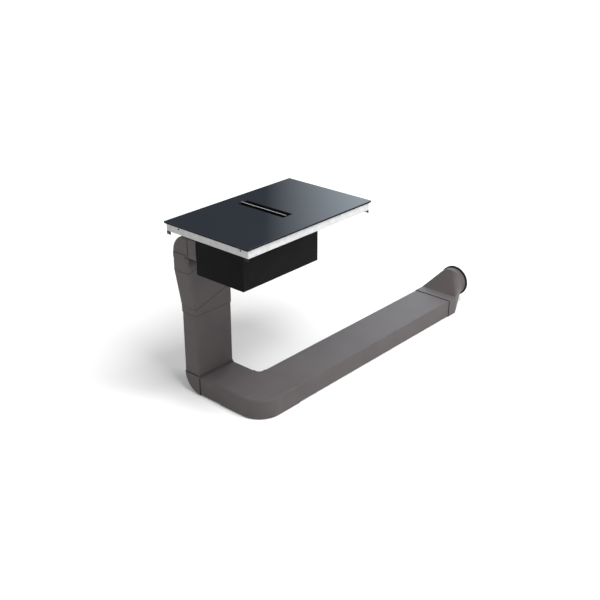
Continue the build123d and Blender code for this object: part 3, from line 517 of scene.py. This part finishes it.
def makeScrews(node, axis, sides, slotName):
    # one head for each of the node's solids, turned outwards from the node's middle,
    # or downwards where its axis is upright
    low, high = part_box(node)
    middle = (Vector(low) + Vector(high)) / 2
    spots, ways, size = [], [], None
    for least, most in islands(node):
        centre = (least + most) / 2
        size = most - least
        way = Vector((0, 0, 0))
        way[axis] = -1.0 if axis == upAxis or centre[axis] < middle[axis] else 1.0
        centre -= way * size[axis] / 2
        spots.append(centre)
        ways.append(way)
    base = bpy.data.meshes.new(node)
    base.from_pydata(spots, [], [])
    facing = base.attributes.new("facing", "FLOAT_VECTOR", "POINT")
    for index, way in enumerate(ways):
        facing.data[index].vector = way
    across = max(size[other] for other in range(3) if other != axis)
    sizes = {
        "Sides": screwLook[sides],
        "Radius": across / 2,
        "Top": across / 2 * screwLook["headTop"],
        "Height": size[axis],
        "Socket": across / 2 * screwLook["socketShare"],
    }
    piece = growPiece(node + ".heads", screwTree(finishes[slotName]), sizes, base)
    settle(piece, node, slotName)


# coils: a flat spiral of copper strand on a dark disc
coilLook = {
    "turns": 24.0,
    "strand": 0.0014,  # the strand's radius
    "eye": 0.022,
    "turnSteps": 48,
    "strandSides": 6,
    "discSides": 96,
}
coilSizes = {"Turns": 24.0, "Eye": 0.022, "Radius": 0.1, "Strand": 0.0014}


def coilTree(material):
    tree, ends = startTree("coilWinding", coilSizes)
    spiral = addNode(tree, "GeometryNodeCurveSpiral", Resolution=coilLook["turnSteps"])
    spiral.inputs["Height"].default_value = 0.0
    join(tree, ends.outputs["Turns"], spiral.inputs["Rotations"])
    join(tree, ends.outputs["Eye"], spiral.inputs["Start Radius"])
    join(tree, ends.outputs["Radius"], spiral.inputs["End Radius"])
    strand = addNode(tree, "GeometryNodeCurvePrimitiveCircle", Resolution=coilLook["strandSides"])
    join(tree, ends.outputs["Strand"], strand.inputs["Radius"])
    wound = addNode(tree, "GeometryNodeCurveToMesh")
    wound.inputs["Fill Caps"].default_value = True
    join(tree, spiral.outputs["Curve"], wound.inputs["Curve"])
    join(tree, strand.outputs["Curve"], wound.inputs["Profile Curve"])
    return endTree(tree, wound.outputs["Mesh"], material)


def makeDisc(node, middle, outer, bottom, top):
    # a flat ring, square in section
    work = bmesh.new()
    sides = coilLook["discSides"]
    rings = []
    for radius in (coilLook["eye"], outer):
        for z in (bottom, top):
            ring = []
            for step in range(sides):
                turn = math.tau * step / sides
                x, y = middle.x + radius * math.cos(turn), middle.y + radius * math.sin(turn)
                ring.append(work.verts.new((x, y, z)))
            rings.append(ring)
    inLow, inHigh, outLow, outHigh = rings
    for step in range(sides):
        after = (step + 1) % sides
        for first, second in ((outLow, outHigh), (outHigh, inHigh), (inHigh, inLow), (inLow, outLow)):
            work.faces.new((first[step], first[after], second[after], second[step]))
    bmesh.ops.recalc_face_normals(work, faces=work.faces)
    mesh = bpy.data.meshes.new(node + ".disc")
    work.to_mesh(mesh)
    work.free()
    disc = placeObject(node + ".disc", mesh)
    settle(disc, node, material=extraFinishes["ferriteDisc"])


def makeCoil(node, tree):
    low, high = map(Vector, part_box(node))
    middle = (low + high) / 2
    outer = (high.x - low.x) / 2
    strand = coilLook["strand"]
    sizes = {"Turns": coilLook["turns"], "Eye": coilLook["eye"] + strand}
    sizes.update({"Radius": outer - strand, "Strand": strand})
    winding = growPiece(node + ".winding", tree, sizes)
    movePiece(winding, (middle.x, middle.y, high.z - strand))
    settle(winding, node)
    depth = high.z - low.z - 2 * strand
    makeDisc(node, middle, outer, low.z, low.z + depth)


# grease filter: woven wire over its core
filterLook = {"pitch": 0.004, "wire": 0.0006, "wireSides": 4, "wave": 0.0005}
filterSizes = {"Width": 0.05, "Length": 0.25, "Across": 13, "Along": 64, "Wire": 0.0006, "Wave": 0.0005}


def filterTree(material):
    tree, ends = startTree("filterWeave", filterSizes)
    grid = addNode(tree, "GeometryNodeMeshGrid")
    join(tree, ends.outputs["Width"], grid.inputs["Size X"])
    join(tree, ends.outputs["Length"], grid.inputs["Size Y"])
    join(tree, ends.outputs["Across"], grid.inputs["Vertices X"])
    join(tree, ends.outputs["Along"], grid.inputs["Vertices Y"])
    index = tree.nodes.new("GeometryNodeInputIndex")
    odd = addNode(tree, "ShaderNodeMath", operation="PINGPONG")
    odd.inputs[1].default_value = 1.0  # every second point rises
    join(tree, index.outputs["Index"], odd.inputs[0])
    rise = addNode(tree, "ShaderNodeMath", operation="MULTIPLY")
    join(tree, odd.outputs[0], rise.inputs[0])
    join(tree, ends.outputs["Wave"], rise.inputs[1])
    offset = addNode(tree, "ShaderNodeCombineXYZ")
    join(tree, rise.outputs[0], offset.inputs["Z"])
    woven = addNode(tree, "GeometryNodeSetPosition")
    join(tree, grid.outputs["Mesh"], woven.inputs["Geometry"])
    join(tree, offset.outputs["Vector"], woven.inputs["Offset"])
    lines = addNode(tree, "GeometryNodeMeshToCurve")
    join(tree, woven.outputs["Geometry"], lines.inputs["Mesh"])
    wire = addNode(tree, "GeometryNodeCurvePrimitiveCircle", Resolution=filterLook["wireSides"])
    join(tree, ends.outputs["Wire"], wire.inputs["Radius"])
    drawn = addNode(tree, "GeometryNodeCurveToMesh")
    drawn.inputs["Fill Caps"].default_value = True
    join(tree, lines.outputs["Curve"], drawn.inputs["Curve"])
    join(tree, wire.outputs["Curve"], drawn.inputs["Profile Curve"])
    return endTree(tree, drawn.outputs["Mesh"], material)


def makeFilterWeave():
    low, high = map(Vector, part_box("grease_filter"))
    size = high - low
    margin = 2 * filterLook["wire"]
    sizes = {
        "Width": size.x - margin,
        "Length": size.y - margin,
        "Across": int(size.x / filterLook["pitch"]) | 1,  # odd, so that neighbours alternate
        "Along": int(size.y / filterLook["pitch"]) | 1,
        "Wire": filterLook["wire"],
        "Wave": filterLook["wave"],
    }
    weave = growPiece("greaseFilter.weave", filterTree(finishes["bright_steel"]), sizes)
    middle = (low + high) / 2
    movePiece(weave, (middle.x, middle.y, high.z + filterLook["wire"]))
    settle(weave, "grease_filter", standsFor=False)


# lips of the joints' gaskets and the shadow lines of the moulded mitres: wide runs along the
# duct, deep goes through its wall, bend is the outline's corner
lipLook = {"deep": 0.0016, "wide": 0.0024, "bend": 0.0075, "bendSteps": 6, "outline": (0.225, 0.093)}
shellLook = {"deep": 0.0014, "wide": 0.0034, "bend": 0.0105, "proud": 0.0004, "outline": (0.231, 0.099)}
creaseLook = {"deep": 0.0014, "wide": 0.0026, "proud": 0.0003, "rise": 0.065}
lipSizes = {"Width": 0.2, "Height": 0.1, "Bend": 0.008, "Wide": 0.003, "Deep": 0.002}


def lipTree(material, name):
    tree, ends = startTree(name, lipSizes)
    outline = addNode(tree, "GeometryNodeCurvePrimitiveQuadrilateral", mode="RECTANGLE")
    join(tree, ends.outputs["Width"], outline.inputs["Width"])
    join(tree, ends.outputs["Height"], outline.inputs["Height"])
    rounded = addNode(tree, "GeometryNodeFilletCurve", mode="POLY", Count=lipLook["bendSteps"])
    join(tree, outline.outputs["Curve"], rounded.inputs["Curve"])
    join(tree, ends.outputs["Bend"], rounded.inputs["Radius"])
    section = addNode(tree, "GeometryNodeCurvePrimitiveQuadrilateral", mode="RECTANGLE")
    join(tree, ends.outputs["Deep"], section.inputs["Width"])
    join(tree, ends.outputs["Wide"], section.inputs["Height"])
    swept = addNode(tree, "GeometryNodeCurveToMesh")
    join(tree, rounded.outputs["Curve"], swept.inputs["Curve"])
    join(tree, section.outputs["Curve"], swept.inputs["Profile Curve"])
    return endTree(tree, swept.outputs["Mesh"], material)


# middle and turn of each lip, in metres
upright, frontward, sideways = (0, 0, 0), (math.pi / 2, 0, 0), (math.pi / 2, 0, math.pi / 2)
pipeLips = {
    "offsetFoot": ((-0.7225, 0.1815, 0.4145 - lipLook["wide"] / 2), upright),
    "bendTop": ((-0.7225, 0.1815, 0.1005 + lipLook["wide"] / 2), upright),
    "bendFront": ((-0.7225, 0.1305 - lipLook["wide"] / 2, 0.0495), frontward),
    "adapterMouth": ((0.660 - lipLook["wide"] / 2, -0.1545, 0.0495), sideways),
}
shellLips = {
    "elbowBack": ((-0.756, 0.12975, 0.7605), frontward),
}
mitreLines = {
    "mitreHigh": (-0.756, 0.1815, 0.6665),
    "mitreLow": (-0.7225, 0.1815, 0.477),
}


def makeRing(name, tree, look, outline, bend, place, turn):
    wide, height = outline
    sizes = {"Width": wide, "Height": height, "Bend": bend, "Wide": look["wide"], "Deep": look["deep"]}
    ring = growPiece(name, tree, sizes)
    movePiece(ring, place, turn)
    return ring


def makeLips():
    tree = lipTree(finishes["black_rubber"], "gasketLip")
    wide, height = lipLook["outline"]
    deep = lipLook["deep"]
    outline, bend = (wide + deep, height + deep), lipLook["bend"] + deep / 2
    for name, (place, turn) in pipeLips.items():
        lip = makeRing(name + ".lip", tree, lipLook, outline, bend, place, turn)
        settle(lip, "duct_seals", standsFor=False)
    wide, height = shellLook["outline"]
    inset = shellLook["deep"] - 2 * shellLook["proud"]
    outline, bend = (wide - inset, height - inset), shellLook["bend"] - inset / 2
    for name, (place, turn) in shellLips.items():
        lip = makeRing(name + ".lip", tree, shellLook, outline, bend, place, turn)
        settle(lip, "duct_seals", standsFor=False)


def makeMitreLines():
    shadow = extraFinishes["mitreShadow"]
    tree = lipTree(shadow, "mitreLine")
    wide, height = shellLook["outline"]
    slope = math.atan2(creaseLook["rise"], wide)
    inset = creaseLook["deep"] - 2 * creaseLook["proud"]
    outline = (wide / math.cos(slope) - inset, height - inset)
    bend = shellLook["bend"] - inset / 2
    for name, place in mitreLines.items():
        line = makeRing(name + ".line", tree, creaseLook, outline, bend, place, (0, -slope, 0))
        settle(line, "offset_duct", material=shadow, standsFor=False)


print("tools ready")

plainNodes = set(nodes)
screwNodes = {
    "tray_screws": (acrossAxis, "traySides", "black_metal"),
    "clamp_screws": (upAxis, "hexSides", "light_steel"),
    "motor_screws": (upAxis, "hexSides", "light_steel"),
}
for node, (axis, sides, slotName) in screwNodes.items():
    makeScrews(node, axis, sides, slotName)
    plainNodes.discard(node)
print("screws set")

winding = coilTree(finishes["copper_winding"])
for node in sorted(nodes):
    if node.startswith("coil_front") or node.startswith("coil_rear"):
        makeCoil(node, winding)
        plainNodes.discard(node)
print("coils wound")

makeFilterWeave()
makeLips()
makeMitreLines()
print("filter, lips and mitre lines made")

for node in sorted(plainNodes):
    smoothCopy(node)
print("frame pieces finished:", len(plainNodes))


# the studio: camera, world, floor, lamps and the reflector over the glass
cameraLook = {
    "azimuth": -48.5,
    "elevation": 24.8,
    "spot": (-3.5716, -2.9192, 2.3795),
    "lens": 59.5,
    "sensor": 36.0,
}
roomLook = {
    "ambient": 0.4,  # what lights the object
    "seen": 1.0,  # what the camera and reflections show
    "floorTone": 0.8,
    "floorHalf": 30.0,
    "floorDrop": 0.0005,
    "glow": (0.12, 0.7),  # near the object, and far from it
    "reach": (0.9, 3.2),  # how near and how far, in metres
}
cardLook = {
    "aim": (-0.46, 0.01, 0.856),
    "away": 5.0,
    "half": 3.2,
    "colour": (0.82, 0.92, 1.0, 1),
    "levels": (0.1, 3.2),  # at its dark side, and at its bright side
    "between": (-0.2, 1.5),  # where across the panel the level rises, in metres
}


def viewAxes():
    turn = math.radians(cameraLook["azimuth"])
    tilt = math.radians(cameraLook["elevation"])
    back = Vector((math.sin(turn) * math.cos(tilt), -math.cos(turn) * math.cos(tilt), math.sin(tilt)))
    right = Vector((math.cos(turn), math.sin(turn), 0))
    return right, back


def makeCamera():
    right, back = viewAxes()
    up = back.cross(right)
    camera = placeObject("camera", bpy.data.cameras.new("camera"))
    camera.data.lens = cameraLook["lens"]
    camera.data.sensor_width = cameraLook["sensor"]
    rotation = Matrix((right, up, back)).transposed().to_4x4()
    camera.matrix_world = Matrix.Translation(cameraLook["spot"]) @ rotation
    bpy.context.scene.camera = camera


def seenDirectly(tree):
    # 1 for camera, mirror and see-through rays, else 0
    path = tree.nodes.new("ShaderNodeLightPath")
    total = path.outputs["Is Camera Ray"]
    for name in ("Is Glossy Ray", "Is Transmission Ray"):
        larger = addNode(tree, "ShaderNodeMath", operation="MAXIMUM")
        tree.links.new(total, larger.inputs[0])
        tree.links.new(path.outputs[name], larger.inputs[1])
        total = larger.outputs[0]
    return total


def makeWorld():
    world = bpy.data.worlds.new("studio")
    bpy.context.scene.world = world
    world.use_nodes = True
    tree = world.node_tree
    shade = tree.nodes["Background"]
    shade.inputs["Color"].default_value = (1, 1, 1, 1)
    level = spread(tree, seenDirectly(tree), roomLook["ambient"], roomLook["seen"], 0.0, 1.0)
    tree.links.new(level, shade.inputs["Strength"])


def squareMesh(name, half):
    mesh = bpy.data.meshes.new(name)
    corners = [(-half, -half, 0), (half, -half, 0), (half, half, 0), (-half, half, 0)]
    mesh.from_pydata(corners, [], [(0, 1, 2, 3)])
    return mesh


def startGlow(name):
    material = bpy.data.materials.new(name)
    material.use_nodes = True
    tree = material.node_tree
    tree.nodes.clear()
    return material, tree, tree.nodes.new("ShaderNodeEmission"), tree.nodes.new("ShaderNodeOutputMaterial")


def makeFloor():
    floor = placeObject("floor", squareMesh("floor", roomLook["floorHalf"]))
    floor.location.z = -roomLook["floorDrop"]
    material, tree, glow, out = startGlow("floorPale")
    matt = addNode(tree, "ShaderNodeBsdfDiffuse")
    matt.inputs["Color"].default_value = (roomLook["floorTone"],) * 3 + (1,)
    # the floor pales away from the object, and keeps the shadow under it
    place = tree.nodes.new("ShaderNodeTexCoord")
    reach = addNode(tree, "ShaderNodeVectorMath", operation="LENGTH")
    tree.links.new(place.outputs["Object"], reach.inputs[0])
    level = spread(tree, reach.outputs["Value"], *roomLook["glow"], *roomLook["reach"])
    shown = addNode(tree, "ShaderNodeMath", operation="MULTIPLY")
    tree.links.new(level, shown.inputs[0])
    tree.links.new(seenDirectly(tree), shown.inputs[1])
    tree.links.new(shown.outputs[0], glow.inputs["Strength"])
    both = tree.nodes.new("ShaderNodeAddShader")
    tree.links.new(matt.outputs[0], both.inputs[0])
    tree.links.new(glow.outputs[0], both.inputs[1])
    tree.links.new(both.outputs[0], out.inputs["Surface"])
    floor.data.materials.append(material)


lampLook = {
    "keyLamp": {"spot": (-0.7, -2.0, 4.4), "aim": (-0.3, 0, 0.3), "size": 2.2, "power": 225},
    "fillLamp": {"spot": (2.6, -3.4, 2.6), "aim": (-0.2, -0.1, 0.3), "size": 2.6, "power": 125},
}


def makeLamp(name, spot, aim, size, power):
    lamp = placeObject(name, bpy.data.lights.new(name, "AREA"))
    lamp.data.shape = "SQUARE"
    lamp.data.size = size
    lamp.data.energy = power
    lamp.location = spot
    lamp.rotation_mode = "QUATERNION"
    lamp.rotation_quaternion = (Vector(aim) - Vector(spot)).to_track_quat("-Z", "Y")
    lamp.visible_glossy = False


def makeCard():
    # the glass mirrors this panel: dark at the left, bright at the right
    right, back = viewAxes()
    towards = Vector((-back.x, -back.y, back.z))
    up = (-towards).cross(right)
    panel = placeObject("card", squareMesh("card", cardLook["half"]))
    spot = Vector(cardLook["aim"]) + towards * cardLook["away"]
    panel.matrix_world = Matrix.Translation(spot) @ Matrix((right, up, -towards)).transposed().to_4x4()
    material, tree, glow, out = startGlow("cardGlow")
    place = tree.nodes.new("ShaderNodeTexCoord")
    parts = tree.nodes.new("ShaderNodeSeparateXYZ")
    tree.links.new(place.outputs["Object"], parts.inputs[0])
    level = spread(tree, parts.outputs["X"], *cardLook["levels"], *cardLook["between"])
    glow.inputs["Color"].default_value = cardLook["colour"]
    tree.links.new(level, glow.inputs["Strength"])
    tree.links.new(glow.outputs[0], out.inputs["Surface"])
    panel.data.materials.append(material)
    panel.visible_camera = False
    panel.visible_diffuse = False
    panel.visible_shadow = False
    panel.visible_transmission = False


makeCamera()
makeWorld()
makeFloor()
makeCard()
for name, look in lampLook.items():
    makeLamp(name, **look)
bpy.context.scene.view_settings.view_transform = "Standard"
print("studio ready")
